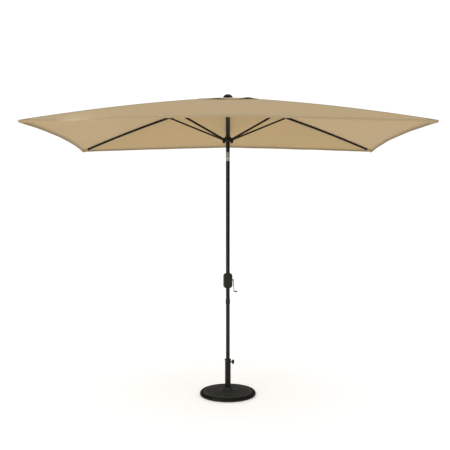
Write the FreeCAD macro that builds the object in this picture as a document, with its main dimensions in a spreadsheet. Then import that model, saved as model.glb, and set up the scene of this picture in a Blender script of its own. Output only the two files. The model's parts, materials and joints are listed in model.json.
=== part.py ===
import FreeCAD, Part
import math
import os

import Sketcher
from FreeCAD import Placement, Rotation, Vector

# A rectangular market umbrella in its weighted round base. Millimetres, +Z up, +X along the
# canopy's long side, origin on the floor under the middle of the pole.

doc = FreeCAD.newDocument("patio_umbrella")
sheet = doc.addObject("Spreadsheet::Sheet", "dims")


class Size:
    """A cell of the sheet, or a sum worked out from cells: its number and its formula."""

    def __init__(self, value, formula):
        self.value = value
        self.formula = formula

    def __add__(self, other):
        return Size(self.value + number(other), f"({self.formula} + {formula(other)})")

    def __sub__(self, other):
        return Size(self.value - number(other), f"({self.formula} - {formula(other)})")

    def __mul__(self, other):
        return Size(self.value * number(other), f"({self.formula} * {formula(other)})")

    def __truediv__(self, other):
        return Size(self.value / number(other), f"({self.formula} / {formula(other)})")

    def __neg__(self):
        return Size(-self.value, f"(0 - {self.formula})")


def number(value):
    return value.value if isinstance(value, Size) else float(value)


def formula(value):
    return value.formula if isinstance(value, Size) else repr(float(value))


def bind(thing, name, value):
    if isinstance(value, Size):
        thing.setExpression(name, value.formula)
    else:
        setattr(thing, name, value)


def cell(name, value, note):
    """One row of the sheet: the name, its plain number and what it measures."""
    cell.row += 1
    sheet.set(f"A{cell.row}", name)
    sheet.set(f"B{cell.row}", str(value))
    sheet.set(f"C{cell.row}", note)
    sheet.setAlias(f"B{cell.row}", name)
    return Size(float(value), f"dims.{name}")


cell.row = 0

# Driving dimensions ---------------------------------------------------------------------------
half_length = cell("half_length", 1500, "canopy corner, along X")
half_depth = cell("half_depth", 1000, "canopy corner, along Y")
long_hem_inset = cell("long_hem_inset", 25, "how far the long hem draws in at its middle")
short_hem_inset = cell("short_hem_inset", 45, "how far the short hem draws in at its middle")
apex_height = cell("apex_height", 2601.4, "where the rib lines of the fabric would meet")
corner_height = cell("corner_height", 2245.1, "fabric at a corner")
long_hem_height = cell("long_hem_height", 2287, "fabric at the middle of a long hem")
corner_bow = cell("corner_bow", 18200, "radius of a corner rib's bow")
middle_bow = cell("middle_bow", 19700, "radius of a middle rib's bow")
fabric_thickness = cell("fabric_thickness", 1.2, "canopy cloth with its seams")
vent_opening = cell("vent_opening", 0.11, "top edge of the main cloth, as a share of the rib")

cap_height = cell("cap_height", 2602, "vent cap at its middle")
cap_half_length = cell("cap_half_length", 255, "vent cap corner, along X")
cap_half_depth = cell("cap_half_depth", 170, "vent cap corner, along Y")
cap_corner_height = cell("cap_corner_height", 2560, "vent cap at a corner")
cap_side_height = cell("cap_side_height", 2557, "vent cap at the middle of a long side")
cap_edge_lift = cell("cap_edge_lift", 7, "how far the cap's edge stands up between ribs")

rib_width = cell("rib_width", 12, "rib tube, across")
rib_deep = cell("rib_deep", 16, "rib tube, in height")
rib_wall = cell("rib_wall", 1.2, "rib tube wall")
rib_root = cell("rib_root", 58, "where the rib tube begins, from the axis")
corner_root_height = cell("corner_root_height", 2579.9, "corner rib's middle at its root")
corner_tip = cell("corner_tip", 1765, "where a corner rib ends, from the axis")
corner_tip_height = cell("corner_tip_height", 2241.5, "corner rib's middle at its tip")
middle_root_height = cell("middle_root_height", 2571.3, "middle rib's middle at its root")
middle_tip = cell("middle_tip", 945, "where a middle rib ends, from the axis")
middle_tip_height = cell("middle_tip_height", 2284.6, "middle rib's middle at its tip")

pivot_radius = cell("pivot_radius", 45, "crown and runner pivots, from the axis")
corner_pivot_height = cell("corner_pivot_height", 2581, "corner rib's crown pivot")
middle_pivot_height = cell("middle_pivot_height", 2575, "middle rib's crown pivot")
runner_height = cell("runner_height", 2233, "strut feet on the runner")
joint_reach = cell("joint_reach", 625, "strut's joint on its rib, from the axis")
corner_joint_height = cell("corner_joint_height", 2469, "strut's joint on a corner rib")
middle_joint_height = cell("middle_joint_height", 2376, "strut's joint on a middle rib")
strut_width = cell("strut_width", 11, "strut channel, across")
strut_deep = cell("strut_deep", 14, "strut channel, in height")
strut_wall = cell("strut_wall", 1.3, "strut channel wall")
pin_radius = cell("pin_radius", 2.5, "rib and strut pins")
running_gap = cell("running_gap", 0.1, "radial clearance of a turning fit")
slot_width = cell("slot_width", 14, "radial slots of the crown and the runner")
star_radius = cell("star_radius", 51, "outer radius of the crown and of the runner's lugs")

pole_radius = cell("pole_radius", 17, "pole, outside")
pole_wall = cell("pole_wall", 1.5, "pole wall")
pole_foot = cell("pole_foot", 42, "lower end of the lower pole")
coupler_height = cell("coupler_height", 814, "middle of the coupling between the poles")
pole_top = cell("pole_top", 2584, "upper end of the upper pole")
tilt_height = cell("tilt_height", 2080, "tilt axis")
tilt_ring_low = cell("tilt_ring_low", 2043.5, "lower end of the tilt joint")
tilt_ring_high = cell("tilt_ring_high", 2121.5, "upper end of the tilt joint")
tilt_round = cell("tilt_round", 14, "round ends of the tilt joint's tongue and cheeks")
tongue_half = cell("tongue_half", 6, "half thickness of the tongue")
button_height = cell("button_height", 2053, "tilt button")
button_radius = cell("button_radius", 5.5, "tilt button")

crank_height = cell("crank_height", 1003, "crank shaft")
housing_width = cell("housing_width", 80, "crank housing, along X")
housing_tall = cell("housing_tall", 130, "crank housing, in height")
housing_middle = cell("housing_middle", 997, "middle of the crank housing")
housing_half = cell("housing_half", 30, "crank housing, from the pole's middle to its face")
housing_round = cell("housing_round", 27, "corner radius of the housing's front view")
housing_wall = cell("housing_wall", 3, "crank housing wall")
screw_side = cell("screw_side", 27, "housing screws, from the pole along X")
screw_rise = cell("screw_rise", 46, "housing screws, from the housing's middle")
shaft_radius = cell("shaft_radius", 5, "crank shaft")
crank_throw = cell("crank_throw", 101, "crank shaft to grip")
cord_radius = cell("cord_radius", 1, "lift cord")
winding_radius = cell("winding_radius", 10.5, "mean radius of the cord on the spool")
pulley_height = cell("pulley_height", 2500, "top pulley")
pulley_radius = cell("pulley_radius", 8.5, "bottom of the pulley's groove")

base_radius = cell("base_radius", 244, "weighted base")
base_lip = cell("base_lip", 4, "lower edge of the base's shell")
ballast_low = cell("ballast_low", 6, "underside of the ballast")
boss_top = cell("boss_top", 68, "top of the boss round the stand tube")
well_radius = cell("well_radius", 76, "hollow for the flange under the boss")
flange_top = cell("flange_top", 19, "top of the stand tube's flange")
flange_radius = cell("flange_radius", 64, "flange of the stand tube")
bolt_circle = cell("bolt_circle", 46, "flange bolts, from the axis")
foot_circle = cell("foot_circle", 205, "rubber feet, from the axis")
foot_radius = cell("foot_radius", 15, "rubber foot")
tube_radius = cell("tube_radius", 25.4, "stand tube, outside")
tube_wall = cell("tube_wall", 2, "stand tube wall")
tube_top = cell("tube_top", 300, "top of the stand tube")
collar_top = cell("collar_top", 311.5, "top of the tube's collar")
collar_radius = cell("collar_radius", 28.5, "collar, outside")
clamp_height = cell("clamp_height", 286, "clamp screw")
clamp_screw_radius = cell("clamp_screw_radius", 4, "clamp screw")
knob_radius = cell("knob_radius", 18.5, "clamp knob")

finial_radius = cell("finial_radius", 41.5, "finial")
finial_top = cell("finial_top", 2629, "top of the finial")

doc.recompute()

# Values worked out from them, in both forms
corner_reach = math.hypot(number(half_length), number(half_depth))
corner_turn = math.degrees(math.atan2(number(half_depth), number(half_length)))
pole_bore = pole_radius - pole_wall
tube_bore = tube_radius - tube_wall
bush_bore = pole_radius + 0.3
insert_radius = pole_bore - 0.1
ALONG_X = Rotation(Vector(0, 1, 0), 90)
ALONG_Y = Rotation(Vector(1, 0, 0), -90)
UPRIGHT = Rotation()
nodes = []


# Building blocks ------------------------------------------------------------------------------
def place(thing, base, rotation=UPRIGHT):
    thing.Placement = Placement(Vector(*[number(value) for value in base]), rotation)
    for axis, value in zip("xyz", base):
        if isinstance(value, Size):
            thing.setExpression(f"Placement.Base.{axis}", value.formula)
    return thing


def cylinder(radius, height, base, rotation=UPRIGHT):
    thing = doc.addObject("Part::Cylinder", "cylinder")
    bind(thing, "Radius", radius)
    bind(thing, "Height", height)
    return place(thing, base, rotation)


def tube(outer, inner, low, high):
    height = high - low
    wall = cylinder(outer, height, (0, 0, low))
    return cut(wall, cylinder(inner, height + 2, (0, 0, low - 1)))


def box(length, width, height, base):
    thing = doc.addObject("Part::Box", "box")
    bind(thing, "Length", length)
    bind(thing, "Width", width)
    bind(thing, "Height", height)
    return place(thing, base)


def cut(base, *tools):
    for tool in tools:
        result = doc.addObject("Part::Cut", "cut")
        result.Base = base
        result.Tool = tool
        base = result
    return base


def fuse(*shapes):
    result = doc.addObject("Part::MultiFuse", "fuse")
    result.Shapes = list(shapes)
    return result


def common(*shapes):
    result = doc.addObject("Part::MultiCommon", "common")
    result.Shapes = list(shapes)
    return result


def group(*shapes):
    result = doc.addObject("Part::Compound", "group")
    result.Links = list(shapes)
    return result


def node(name, thing):
    """The finished sub-part: its Label names its node and its file."""
    thing.Label = name
    nodes.append(thing)
    return thing


def origin_plane(body, role):
    return next(plane for plane in body.Origin.OriginFeatures if plane.Role == role)


def sketch_on(body, role):
    sketch = body.newObject("Sketcher::SketchObject", "sketch")
    sketch.AttachmentSupport = [(origin_plane(body, role), "")]
    sketch.MapMode = "FlatFace"
    return sketch


def set_distance(sketch, kind, edge, end, value):
    if number(value) == 0:
        axis = -2 if kind == "DistanceX" else -1
        sketch.addConstraint(Sketcher.Constraint("PointOnObject", edge, end, axis))
        return
    index = sketch.addConstraint(Sketcher.Constraint(kind, -1, 1, edge, end, number(value)))
    if isinstance(value, Size):
        sketch.setExpression(f"Constraints[{index}]", value.formula)


def arc_between(start, end, radius):
    """The short arc from start to end, drawn anticlockwise as a sketch keeps it.

    A positive radius has its middle on the right, so its arc runs from end to start.
    """
    chord = end - start
    side = Vector(chord.y, -chord.x, 0).normalize()
    rise = math.sqrt(radius * radius - chord.Length * chord.Length / 4)
    sign = 1 if radius > 0 else -1
    middle = (start + end) * 0.5 + side * (sign * rise)
    peak = middle - side * radius
    return Part.Arc(end, peak, start) if radius > 0 else Part.Arc(start, peak, end)


def draw(sketch, points):
    """A closed outline: each point is x, y, and the radius of the arc that arrives there."""
    count = len(points)
    spots = [Vector(number(point[0]), number(point[1]), 0) for point in points]
    starts = []
    for index in range(count):
        following = (index + 1) % count
        if len(points[following]) == 3:
            radius = points[following][2]
            arc = arc_between(spots[index], spots[following], number(radius))
            edge = sketch.addGeometry(arc, False)
            starts.append(2 if number(radius) > 0 else 1)
            bend = sketch.addConstraint(Sketcher.Constraint("Radius", edge, abs(number(radius))))
            if isinstance(radius, Size) and number(radius) > 0:
                sketch.setExpression(f"Constraints[{bend}]", radius.formula)
        else:
            sketch.addGeometry(Part.LineSegment(spots[index], spots[following]), False)
            starts.append(1)
    for index in range(count):
        following = (index + 1) % count
        end = 3 - starts[index]
        sketch.addConstraint(
            Sketcher.Constraint("Coincident", index, end, following, starts[following])
        )
    for index, point in enumerate(points):
        set_distance(sketch, "DistanceX", index, starts[index], point[0])
        set_distance(sketch, "DistanceY", index, starts[index], point[1])
    return sketch


def turned(points):
    """A round piece: its outline in radius and height, turned about the pole's axis."""
    body = doc.addObject("PartDesign::Body", "turned")
    sketch = draw(sketch_on(body, "XZ_Plane"), points)
    turn = body.newObject("PartDesign::Revolution", "turn")
    turn.Profile = sketch
    turn.ReferenceAxis = (sketch, ["V_Axis"])
    turn.Angle = 360
    return body


def plate(points, thickness):
    """A piece cut to an outline in radius and height, and as thick as it is wide in Y."""
    body = doc.addObject("PartDesign::Body", "plate")
    pad = body.newObject("PartDesign::Pad", "pad")
    pad.Profile = draw(sketch_on(body, "XZ_Plane"), points)
    bind(pad, "Length", thickness)
    pad.SideType = "Symmetric"
    return body


def hollow(body, points, width):
    """Take an outline of the given width out of a plate."""
    pocket = body.newObject("PartDesign::Pocket", "pocket")
    pocket.Profile = draw(sketch_on(body, "XZ_Plane"), points)
    bind(pocket, "Length", width)
    pocket.SideType = "Symmetric"
    return body


def shape_node(name, shape):
    """A piece that only Part's own functions can shape."""
    thing = doc.addObject("Part::Feature", name)
    thing.Shape = shape
    return node(name, thing)


def round_wire(radius, half):
    return Part.Wire([Part.makeCircle(half, Vector(radius, 0, 0), Vector(0, 1, 0))])


def square_wire(radius, half):
    corners = [(-half, -half), (half, -half), (half, half), (-half, half), (-half, -half)]
    return Part.makePolygon([Vector(radius + across, 0, up) for across, up in corners])


def coil(section, radius, half, pitch, length, base, rotation):
    """A spring: a wire of the given section swept along a helix."""
    path = Part.makeHelix(pitch, length, radius)
    spring = Part.Wire(path).makePipeShell([section(radius, half)], True, True)
    spring.Placement = Placement(Vector(*[number(value) for value in base]), rotation)
    return spring


# Weighted base --------------------------------------------------------------------------------
def base_bolts(radius, low, high):
    """Four upright rods on the flange's bolt circle."""
    rods = []
    for quarter in range(4):
        angle = math.radians(45 + 90 * quarter)
        across = bolt_circle * math.cos(angle)
        away = bolt_circle * math.sin(angle)
        rods.append(cylinder(radius, high - low, (across, away, low)))
    return rods


def make_base():
    rim = base_radius
    shell = turned([
        (tube_radius + 0.2, flange_top),
        (tube_radius + 0.2, boss_top),
        (tube_radius + 7.6, boss_top),
        (tube_radius + 12, boss_top - 4, 5),
        (tube_radius + 17, boss_top - 17),
        (tube_radius + 31, boss_top - 24, -22),
        (rim - 39, 33),
        (rim - 33, 30, 12),
        (rim - 28, 30),
        (rim - 21, 33.5, -9),
        (rim - 9, 31, 18),
        (rim, 14, 16),
        (rim - 2.5, base_lip, 30),
        (rim - 8, base_lip),
        (rim - 4.5, 14),
        (rim - 11, 26.5, -14),
        (rim - 21, 29.2),
        (rim - 28, 26),
        (rim - 34, 26),
        (rim - 39, 29),
        (well_radius, 38),
        (well_radius, flange_top),
    ])
    node("base_shell", cut(shell, *base_bolts(4.2, flange_top - 1, flange_top + 17)))
    node("base_ballast", turned([
        (well_radius + 2, ballast_low),
        (well_radius + 2, 37),
        (rim - 39.5, 28.2),
        (rim - 34, 25.3),
        (rim - 28, 25.3),
        (rim - 20.6, 28.4),
        (rim - 12, 25.6),
        (rim - 5.4, 14),
        (rim - 8, ballast_low),
    ]))
    feet = []
    for fifth in range(5):
        angle = math.radians(72 * fifth)
        across = foot_circle * math.cos(angle)
        away = foot_circle * math.sin(angle)
        feet.append(cylinder(foot_radius, ballast_low, (across, away, 0)))
    node("base_feet", group(*feet))


def make_stand_tube():
    flange_low = flange_top - 5
    post = turned([
        (tube_bore, flange_low),
        (tube_bore, tube_top),
        (tube_radius, tube_top),
        (tube_radius, flange_top),
        (flange_radius, flange_top),
        (flange_radius, flange_low),
    ])
    clamp_way = cylinder(6, 20, (15, 0, clamp_height), ALONG_X)
    node("stand_tube", cut(post, clamp_way, *base_bolts(4.3, flange_low - 1, flange_top + 1)))
    heads = []
    for rod in base_bolts(4, flange_low - 1, flange_top + 15):
        head = doc.addObject("Part::Prism", "head")
        head.Polygon = 6
        head.Circumradius = 7.5
        head.Height = 5.3
        place(head, (rod.Placement.Base.x, rod.Placement.Base.y, flange_low - 5.3))
        heads.append(fuse(rod, head))
    node("flange_bolts", group(*heads))
    collar = turned([
        (bush_bore, tube_top - 60),
        (bush_bore, collar_top),
        (collar_radius - 3, collar_top),
        (collar_radius, collar_top - 4, 5),
        (collar_radius, tube_top),
        (tube_bore - 0.2, tube_top),
        (tube_bore - 0.2, tube_top - 60),
    ])
    node("tube_collar", cut(collar, cylinder(6, 20, (12, 0, clamp_height), ALONG_X)))
    bush_floor = pole_foot - 4
    node("tube_foot_bush", turned([
        (0, flange_low),
        (0, bush_floor),
        (bush_bore, bush_floor),
        (bush_bore, bush_floor + 37),
        (tube_bore - 0.2, bush_floor + 37),
        (tube_bore - 0.2, flange_low),
    ]))


def make_clamp():
    nut = cut(
        cylinder(8, 13, (20, 0, clamp_height), ALONG_X),
        cylinder(tube_radius, 40, (0, 0, clamp_height - 20)),
        cylinder(clamp_screw_radius + running_gap, 20, (15, 0, clamp_height), ALONG_X),
    )
    node("clamp_nut", nut)
    pad_face = pole_radius + 0.15
    node("clamp_pad", cylinder(4.8, 3, (pad_face, 0, clamp_height), ALONG_X))
    node("clamp_screw", cylinder(clamp_screw_radius, 24.5, (20.3, 0, clamp_height), ALONG_X))
    head = cylinder(knob_radius, 19, (36.5, 0, clamp_height), ALONG_X)
    neck = cylinder(9, 5, (34, 0, clamp_height), ALONG_X)
    rounded = doc.addObject("Part::Fillet", "rounded")
    rounded.Base = head
    rounded.Edges = [(1, 6, 6), (3, 6, 6)]
    scallops = []
    for lobe in range(6):
        angle = math.radians(60 * lobe + 30)
        away = math.sin(angle) * (number(knob_radius) + 3.5)
        rise = math.cos(angle) * (number(knob_radius) + 3.5)
        scallops.append(cylinder(6, 24, (34, away, clamp_height + rise), ALONG_X))
    socket = cylinder(clamp_screw_radius + 0.05, 11, (33.9, 0, clamp_height), ALONG_X)
    node("clamp_knob", cut(fuse(rounded, neck), socket, *scallops))


# Mast -----------------------------------------------------------------------------------------
def make_poles():
    coupler_low = coupler_height - 2
    coupler_high = coupler_height + 2
    node("lower_pole", tube(pole_radius, pole_bore, pole_foot, coupler_low))
    node("pole_foot_plug", turned([
        (0, pole_foot - 3.8),
        (pole_radius - 1, pole_foot - 3.8),
        (pole_radius, pole_foot),
        (insert_radius, pole_foot),
        (insert_radius, pole_foot + 28),
        (0, pole_foot + 28),
    ]))
    sleeve = pole_radius + 0.1
    ring = pole_radius + 2.4
    node("pole_coupler", turned([
        (insert_radius - 1.5, coupler_height - 74),
        (insert_radius, coupler_height - 74),
        (insert_radius, coupler_low),
        (sleeve, coupler_low),
        (sleeve, coupler_height - 22),
        (ring, coupler_height - 22),
        (ring, coupler_height + 23),
        (sleeve, coupler_height + 23),
        (sleeve, coupler_high),
        (insert_radius, coupler_high),
        (insert_radius, coupler_height + 76),
        (insert_radius - 1.5, coupler_height + 76),
    ]))
    mid_pole = tube(pole_radius, pole_bore, coupler_high, tilt_ring_low)
    shaft_way = cylinder(shaft_radius + 0.4, 60, (-30, 0, crank_height), ALONG_X)
    node("mid_pole", cut(mid_pole, shaft_way))
    upper_pole = tube(pole_radius, pole_bore, tilt_ring_high, pole_top)
    pulley_way = box(12, 7, 24, (10, -3.5, pulley_height - 12))
    pin_way = cylinder(2.05, 40, (pulley_offset(), -20, pulley_height), ALONG_Y)
    node("upper_pole", cut(upper_pole, pulley_way, pin_way))


def pulley_offset():
    """The pulley's middle, so that the cord comes up the pole's axis."""
    return pulley_radius + cord_radius + 0.1


def make_tilt_joint():
    low_shoulder = tilt_height - 17
    high_shoulder = tilt_height + 17
    cord_way = 3
    collar = turned([
        (cord_way, tilt_ring_low - 40),
        (insert_radius, tilt_ring_low - 40),
        (insert_radius, tilt_ring_low),
        (pole_radius, tilt_ring_low),
        (pole_radius, low_shoulder),
        (cord_way, low_shoulder),
    ])
    tongue = fuse(
        box(tongue_half * 2, tilt_round * 2, tilt_height - low_shoulder + 1,
            (-tongue_half, -tilt_round, low_shoulder - 1)),
        cylinder(tilt_round, tongue_half * 2, (-tongue_half, 0, tilt_height), ALONG_X),
    )
    cord_bore = cylinder(cord_way, 60, (0, 0, tilt_height - 40))
    cord_slot = box(6, tilt_round + 5, 30, (-3, -tilt_round - 2, tilt_height - 2))
    pin_bore = cylinder(4.1, 40, (-20, 0, tilt_height), ALONG_X)
    recess = cylinder(button_radius + running_gap, 14, (0, -19.5, button_height), ALONG_Y)
    node("tilt_lower_knuckle", cut(fuse(collar, tongue), cord_bore, cord_slot, pin_bore, recess))

    pins = [cylinder(4, 13, (start, 0, tilt_height), ALONG_X) for start in (-16.4, 3.4)]
    node("tilt_pins", group(*pins))

    cheek_gap = tongue_half + 0.3
    round_ends = fuse(
        box(40, tilt_round * 2, high_shoulder - tilt_height + 1, (-20, -tilt_round, tilt_height)),
        cylinder(tilt_round, 40, (-20, 0, tilt_height), ALONG_X),
    )
    cheeks = cut(
        common(cylinder(pole_radius, 40, (0, 0, tilt_height - 20)), round_ends),
        box(cheek_gap * 2, 50, 62, (-cheek_gap, -25, tilt_height - 43)),
    )
    head = turned([
        (cord_way, high_shoulder),
        (pole_radius, high_shoulder),
        (pole_radius, tilt_ring_high),
        (insert_radius, tilt_ring_high),
        (insert_radius, tilt_ring_high + 38),
        (cord_way, tilt_ring_high + 38),
    ])
    cheek_bore = cylinder(4.08, 40, (-20, 0, tilt_height), ALONG_X)
    node("tilt_upper_knuckle", cut(fuse(cheeks, head), cheek_bore))

    face = -number(pole_radius) + 0.9
    node("tilt_button", cylinder(button_radius, 4.5, (0, face, button_height), ALONG_Y))
    spring = coil(round_wire, 3, 0.4, 1.2, 4.8, (0, face + 5, button_height), ALONG_Y)
    shape_node("button_spring", spring)


# Crank ----------------------------------------------------------------------------------------
def rounded_outline(half_width, low, high, radius):
    """A rectangle with round corners, from its lower left corner clockwise."""
    return [
        (-half_width, low + radius),
        (-half_width, high - radius),
        (-half_width + radius, high, number(radius)),
        (half_width - radius, high),
        (half_width, high - radius, number(radius)),
        (half_width, low + radius),
        (half_width - radius, low, number(radius)),
        (-half_width + radius, low),
    ]


def housing_half_shell(side):
    """One half of the crank housing; side is -1 for the front and 1 for the back."""
    body = doc.addObject("PartDesign::Body", "housing")
    low = housing_middle - housing_tall / 2
    high = housing_middle + housing_tall / 2
    corners = rounded_outline(housing_width / 2, low, high, housing_round)
    corners[0] = (*corners[0], number(housing_round))
    pad = body.newObject("PartDesign::Pad", "pad")
    pad.Profile = draw(sketch_on(body, "XZ_Plane"), corners)
    bind(pad, "Length", housing_half)
    pad.Reversed = side > 0
    doc.recompute()
    face_y = side * number(housing_half)
    rim = [
        f"Edge{index + 1}"
        for index, edge in enumerate(pad.Shape.Edges)
        if abs(edge.BoundBox.YMin - face_y) < 1e-6 and abs(edge.BoundBox.YMax - face_y) < 1e-6
    ]
    fillet = body.newObject("PartDesign::Fillet", "fillet")
    fillet.Base = (pad, rim)
    fillet.Radius = 14
    doc.recompute()
    inner = rounded_outline(
        housing_width / 2 - housing_wall,
        low + housing_wall,
        high - housing_wall,
        housing_round - housing_wall,
    )
    inner[0] = (*inner[0], number(housing_round - housing_wall))
    room = doc.addObject("PartDesign::Body", "room")
    inside = room.newObject("PartDesign::Pad", "inside")
    inside.Profile = draw(sketch_on(room, "XZ_Plane"), inner)
    bind(inside, "Length", housing_half - housing_wall)
    inside.Reversed = side > 0
    doc.recompute()
    deep_y = side * number(housing_half - housing_wall)
    room_rim = [
        f"Edge{index + 1}"
        for index, edge in enumerate(inside.Shape.Edges)
        if abs(edge.BoundBox.YMin - deep_y) < 1e-6 and abs(edge.BoundBox.YMax - deep_y) < 1e-6
    ]
    soft = room.newObject("PartDesign::Fillet", "soft")
    soft.Base = (inside, room_rim)
    soft.Radius = 11
    doc.recompute()
    shell = cut(body, room)
    posts = []
    holes = []
    for across in (-screw_side, screw_side):
        for rise in (-screw_rise, screw_rise):
            start = 0 if side > 0 else -(housing_half - 1.5)
            spot = (across, start, housing_middle + rise)
            posts.append(cylinder(4.5, housing_half - 1.5, spot, ALONG_Y))
            holes.append(cylinder(2, 48, (across, -20, housing_middle + rise), ALONG_Y))
            sunk = (across, 24, housing_middle + rise)
            holes.append(cylinder(3.8, 10, sunk, ALONG_Y))
    pole_way = cylinder(pole_radius + 0.1, housing_tall + 20, (0, 0, low - 10))
    shaft_way = cylinder(9.05, 40, (20, 0, crank_height), ALONG_X)
    return cut(fuse(shell, *posts), pole_way, shaft_way, *holes)


def make_crank_housing():
    node("crank_housing_front", housing_half_shell(-1))
    node("crank_housing_back", housing_half_shell(1))
    screws = []
    for across in (-screw_side, screw_side):
        for rise in (-screw_rise, screw_rise):
            shank = cylinder(1.9, 42, (across, -18, housing_middle + rise), ALONG_Y)
            head = cylinder(3.5, 2.5, (across, 24, housing_middle + rise), ALONG_Y)
            screws.append(fuse(shank, head))
    node("housing_screws", group(*screws))
    bushes = []
    for start, length in ((number(pole_radius) + 0.5, 26.5), (-36.8, 9)):
        ring = cylinder(9, length, (start, 0, crank_height), ALONG_X)
        bore = cylinder(shaft_radius + running_gap, 60, (start - 5, 0, crank_height), ALONG_X)
        bushes.append(cut(ring, bore))
    node("crank_bushes", group(*bushes))
    spring = coil(square_wire, 6.6, 0.6, 2.2, 6.6, (-26.5, 0, crank_height), ALONG_X)
    shape_node("brake_spring", spring)


def make_crank():
    node("crank_shaft", cylinder(shaft_radius, 87, (-36, 0, crank_height), ALONG_X))
    spool = fuse(
        cylinder(7.5, 11, (-5.5, 0, crank_height), ALONG_X),
        cylinder(14, 1.2, (-5.5, 0, crank_height), ALONG_X),
        cylinder(14, 1.2, (4.3, 0, crank_height), ALONG_X),
    )
    bore = cylinder(shaft_radius + 0.05, 20, (-10, 0, crank_height), ALONG_X)
    node("cord_spool", cut(spool, bore))
    # the arm hangs from the shaft's end, leaning out a little
    lean = 5
    grip_height = crank_height - crank_throw
    rod_length = math.hypot(number(crank_throw), lean)
    lean_turn = Rotation(Vector(0, 0, 1), Vector(lean, 0, -number(crank_throw)))
    arm = fuse(
        cylinder(8, 6, (45, 0, crank_height), ALONG_X),
        cylinder(3.8, rod_length, (48, 0, crank_height), lean_turn),
        cylinder(6.5, 5, (50.5, 0, grip_height), ALONG_X),
    )
    node("crank_arm", cut(
        arm,
        cylinder(shaft_radius + 0.05, 10, (42, 0, crank_height), ALONG_X),
        cylinder(3.05, 10, (48, 0, grip_height), ALONG_X),
    ))
    pin = fuse(
        cylinder(3, 32.5, (50.5, 0, grip_height), ALONG_X),
        cylinder(4.5, 1.5, (83, 0, grip_height), ALONG_X),
    )
    node("grip_pin", pin)
    knob = fuse(
        cylinder(5.5, 25.4, (57.2, 0, grip_height), ALONG_X),
        cylinder(6.5, 16, (61, 0, grip_height), ALONG_X),
    )
    node("crank_grip", cut(knob, cylinder(3.1, 40, (50, 0, grip_height), ALONG_X)))


# Lift cord ------------------------------------------------------------------------------------
def make_lift_cord():
    start = Vector(0, -number(winding_radius), number(crank_height))
    end = Vector(0, 0, number(tilt_height) - 1.5)
    rise = Rotation(Vector(0, 0, 1), end - start)
    lower = cylinder(cord_radius, (end - start).Length, tuple(start), rise)
    node("lift_cord_lower", lower)
    middle_x = number(pulley_offset())
    height = number(pulley_height)
    turn = middle_x
    path = Part.Wire([
        Part.makeLine(Vector(0, 0, number(tilt_height) + 1.5), Vector(0, 0, height)),
        Part.Arc(
            Vector(0, 0, height),
            Vector(middle_x, 0, height + turn),
            Vector(2 * middle_x, 0, height),
        ).toShape(),
    ])
    section = Part.Wire([Part.makeCircle(number(cord_radius), path.Vertexes[0].Point)])
    shape_node("lift_cord_upper", path.makePipeShell([section], True, True))
    runner_top = runner_height + 26.2
    drop = (pulley_offset() * 2, 0, runner_top)
    node("lift_cord_drop", cylinder(cord_radius, pulley_height - runner_top, drop))


def make_pulley():
    spot = pulley_offset()
    wheel = fuse(
        cylinder(pulley_radius, 5.6, (spot, -2.8, pulley_height), ALONG_Y),
        cylinder(pulley_radius + 2.5, 1.4, (spot, -2.8, pulley_height), ALONG_Y),
        cylinder(pulley_radius + 2.5, 1.4, (spot, 1.4, pulley_height), ALONG_Y),
    )
    node("pulley", cut(wheel, cylinder(2.1, 20, (spot, -10, pulley_height), ALONG_Y)))
    node("pulley_pin", cylinder(2, 27.4, (spot, -13.7, pulley_height), ALONG_Y))


# Crown and runner -----------------------------------------------------------------------------
def rib_turns():
    """The six ribs: corner, middle, corner on the far side, then the same on the near side."""
    return [
        (1, corner_turn, "corner"),
        (2, 90, "middle"),
        (3, 180 - corner_turn, "corner"),
        (4, 180 + corner_turn, "corner"),
        (5, 270, "middle"),
        (6, 360 - corner_turn, "corner"),
    ]


def about_pole(thing, turn):
    """Turn a piece drawn over +X to its own rib, keeping its place."""
    spin = Rotation(Vector(0, 0, 1), turn)
    thing.Placement = Placement(Vector(), spin).multiply(thing.Placement)
    return thing


def fixed_box(length, width, height, base):
    """A box whose corner stays plain, so that it can be turned about the pole."""
    thing = doc.addObject("Part::Box", "box")
    bind(thing, "Length", length)
    bind(thing, "Width", width)
    bind(thing, "Height", height)
    thing.Placement = Placement(Vector(*[number(value) for value in base]), UPRIGHT)
    return thing


def fixed_pin(radius, length, out, height):
    """A pin along Y at a distance out, so that it can be turned about the pole."""
    thing = doc.addObject("Part::Cylinder", "pin")
    bind(thing, "Radius", radius)
    bind(thing, "Height", length)
    spot = Vector(number(out), -number(length) / 2, number(height))
    thing.Placement = Placement(spot, ALONG_Y)
    return thing


def crown_height(kind):
    return corner_pivot_height if kind == "corner" else middle_pivot_height


def make_crown():
    low = middle_pivot_height - 13
    disc = turned([
        (pole_radius + 0.1, low),
        (pole_radius + 0.1, pole_top),
        (5.1, pole_top),
        (5.1, cap_height - 4),
        (24, cap_height - 9.5),
        (27, pole_top + 7),
        (star_radius, pole_top + 1.5),
        (star_radius, low + 4),
        (star_radius - 12, low),
    ])
    slots = []
    holes = []
    pins = []
    for _, turn, kind in rib_turns():
        slot = fixed_box(30, slot_width, 80, (34, -slot_width / 2, low - 20))
        slots.append(about_pole(slot, turn))
        height = crown_height(kind)
        holes.append(about_pole(fixed_pin(pin_radius + 0.05, 30, pivot_radius, height), turn))
        pins.append(about_pole(fixed_pin(pin_radius, 26, pivot_radius, height), turn))
    node("crown_hub", cut(disc, *slots, *holes))
    node("crown_pins", group(*pins))
    under = cap_height + 0.6
    node("finial", turned([
        (0, pole_top + 1),
        (5, pole_top + 1),
        (5, under),
        (finial_radius - 3, under),
        (finial_radius, under + 3, -3.2),
        (16, finial_top - 2.2, -42),
        (4, finial_top, -62),
        (0, finial_top),
    ]))


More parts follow.
